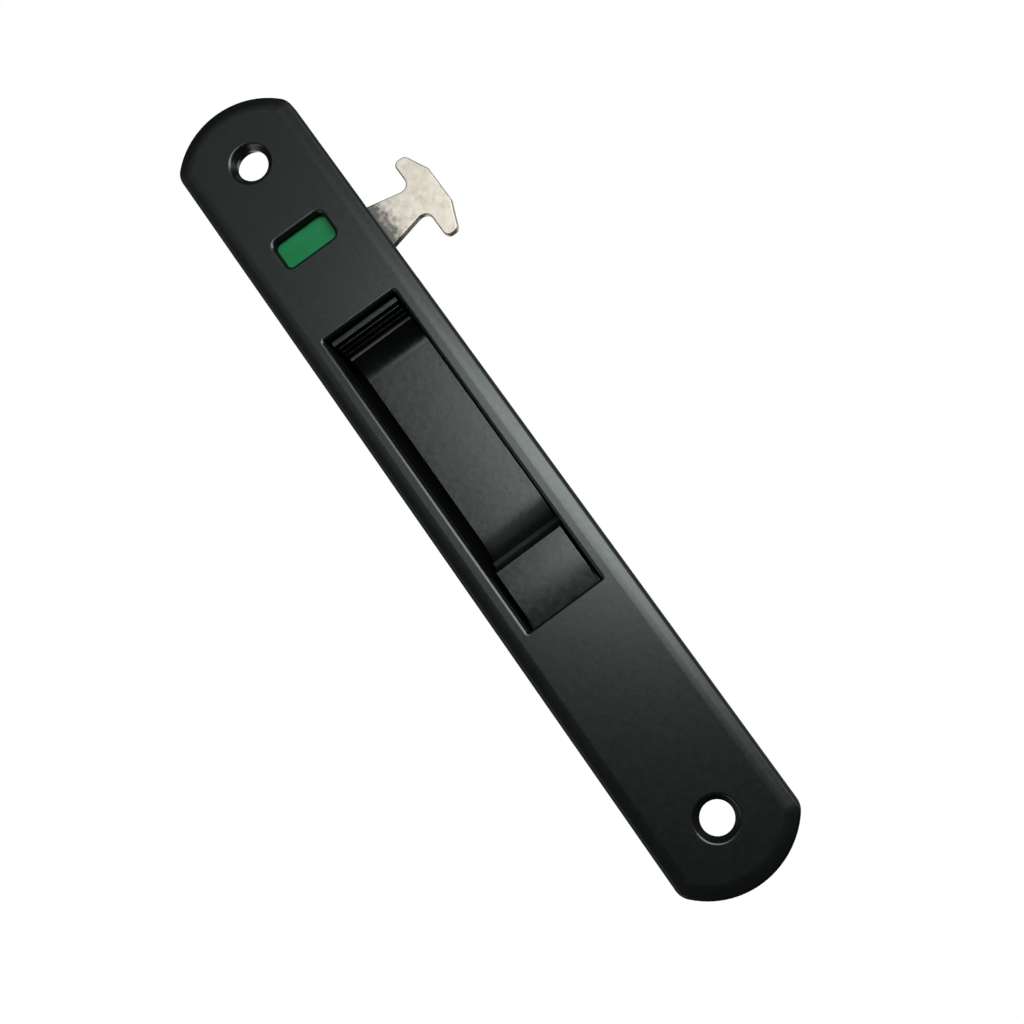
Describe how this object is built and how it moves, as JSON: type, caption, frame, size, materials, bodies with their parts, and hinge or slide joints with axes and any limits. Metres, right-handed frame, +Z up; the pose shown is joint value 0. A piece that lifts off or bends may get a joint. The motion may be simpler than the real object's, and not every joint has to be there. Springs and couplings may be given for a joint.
{
  "type": "sliding door lock",
  "caption": "Flush sliding door lock: long black faceplate, recessed thumb slide, flat T shaped hook at its side and a small window over a green and red indicator.",
  "frame": {"origin": "midway between the two mounting screw holes, where they open on the back of the faceplate's wall", "axes": "+X towards the side where the hook leaves, +Y into the door, +Z up along the faceplate"},
  "size_m": [0.0422, 0.0152, 0.188],
  "materials": {
    "plate_paint": "satin black",
    "slide_plastic": "matte black",
    "hook_steel": "pale plated steel",
    "zinc_steel": "zinc plated",
    "spring_steel": "plain spring steel",
    "rivet_aluminium": "plain",
    "bush_brass": "turned",
    "case_plastic": "matte black",
    "guide_plastic": "dark, smooth",
    "flag_plastic": "dark, smooth",
    "green_film": "semi gloss",
    "red_film": "semi gloss",
    "stop_rubber": "matte black"
  },
  "bodies": {
    "housing": {"faceplate": "plate_paint", "rear_case": "case_plastic", "case_screws": "zinc_steel", "right_hook_guide": "guide_plastic", "left_hook_guide": "guide_plastic", "right_glide": "guide_plastic", "left_glide": "guide_plastic", "detent_leaf": "spring_steel", "leaf_rivets": "rivet_aluminium", "upper_stop": "stop_rubber", "lower_stop": "stop_rubber"},
    "slide": {"thumb_slide": "slide_plastic", "hook_plate": "hook_steel", "drive_plate": "zinc_steel", "indicator_flag": "flag_plastic", "green_label": "green_film", "red_label": "red_film", "flag_rivets": "rivet_aluminium", "clamp_screws": "zinc_steel", "clamp_washers": "zinc_steel", "arm_bushes": "bush_brass"}
  },
  "joints": [
    {"name": "lock_slide", "type": "slide", "parent": "housing", "child": "slide", "axis": [0, 0, -1], "range_m": [0, 0.009], "deforming": ["detent_leaf"]}
  ]
}
